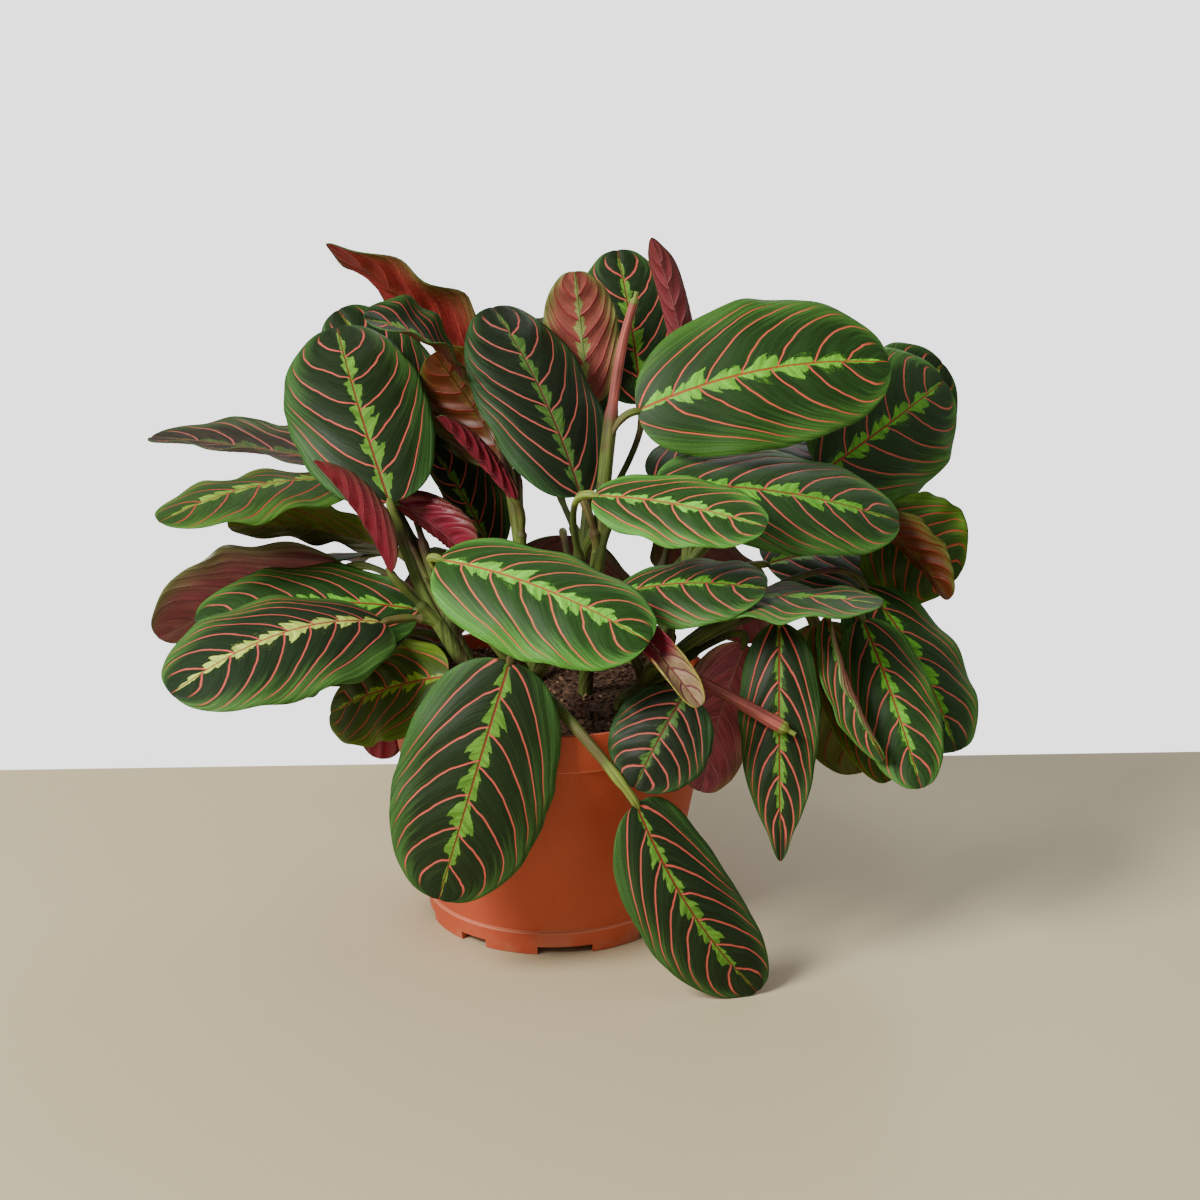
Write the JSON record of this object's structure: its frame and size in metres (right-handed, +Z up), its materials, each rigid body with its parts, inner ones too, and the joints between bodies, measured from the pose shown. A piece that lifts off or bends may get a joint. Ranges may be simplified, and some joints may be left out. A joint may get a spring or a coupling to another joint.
{
  "type": "potted prayer plant",
  "caption": "Leafy prayer plant with broad oval patterned leaves on branching stems, growing from soil in a thin tapered nursery pot.",
  "frame": {"origin": "on the resting surface, under the middle of the pot", "axes": "+Z up, -Y towards the side that the picture shows, +X to its right"},
  "size_m": [0.3859, 0.2138, 0.3063],
  "materials": {
    "terracotta_plastic": "satin",
    "peat_soil": "matte",
    "stem_green": "satin",
    "leaf_green": "satin",
    "leaf_lime": "satin",
    "leaf_olive": "satin",
    "leaf_crimson": "satin",
    "leaf_withered": "matte"
  },
  "bodies": {
    "root": {"pot": "terracotta_plastic", "soil": "peat_soil", "stem_front_left": "stem_green", "stem_front": "stem_green", "stem_left": "stem_green", "stem_upper_left": "stem_green", "stem_upper": "stem_green", "stem_back": "stem_green", "stem_back_left": "stem_green", "stem_right": "stem_green", "stem_back_right": "stem_green", "stem_front_right": "stem_green", "leaf_upper_left": "leaf_green", "leaf_left_edge_on": "leaf_green", "leaf_left_bright": "leaf_lime", "leaf_left_olive": "leaf_olive", "leaf_left_rolled": "leaf_crimson", "leaf_left_trough": "leaf_crimson", "leaf_top_left_red": "leaf_crimson", "leaf_top_left_amber": "leaf_olive", "leaf_top_left_curled": "leaf_green", "leaf_upper_centre": "leaf_green", "leaf_top_pink": "leaf_olive", "leaf_top_centre": "leaf_green", "leaf_top_spike": "leaf_crimson", "leaf_upper_right": "leaf_green", "leaf_right_dark": "leaf_green", "leaf_right_lime": "leaf_lime", "leaf_right_folded": "leaf_green", "leaf_right_centre": "leaf_green", "leaf_young_lime": "leaf_lime", "leaf_centre_rear": "leaf_green", "leaf_right_shaded": "leaf_green", "leaf_front_centre": "leaf_lime", "leaf_centre_right": "leaf_green", "leaf_flat_right": "leaf_green", "leaf_drooping_right": "leaf_green", "leaf_drooping_inner": "leaf_green", "leaf_hanging_hooked": "leaf_green", "leaf_hanging_folded": "leaf_green", "leaf_hanging_olive": "leaf_olive", "leaf_hanging_pointed": "leaf_green", "leaf_withered": "leaf_withered", "leaf_small_rim": "leaf_green", "leaf_rim_pink": "leaf_crimson", "leaf_front_left": "leaf_green", "leaf_front_right": "leaf_green", "leaf_left_big": "leaf_green", "leaf_left_green": "leaf_green", "leaf_left_red": "leaf_crimson", "leaf_left_yellow": "leaf_olive", "leaf_low_left_red": "leaf_crimson", "leaf_low_left_dark": "leaf_green", "leaf_inner_folded": "leaf_green", "leaf_inner_rolled": "leaf_crimson"}
  },
  "joints": []
}
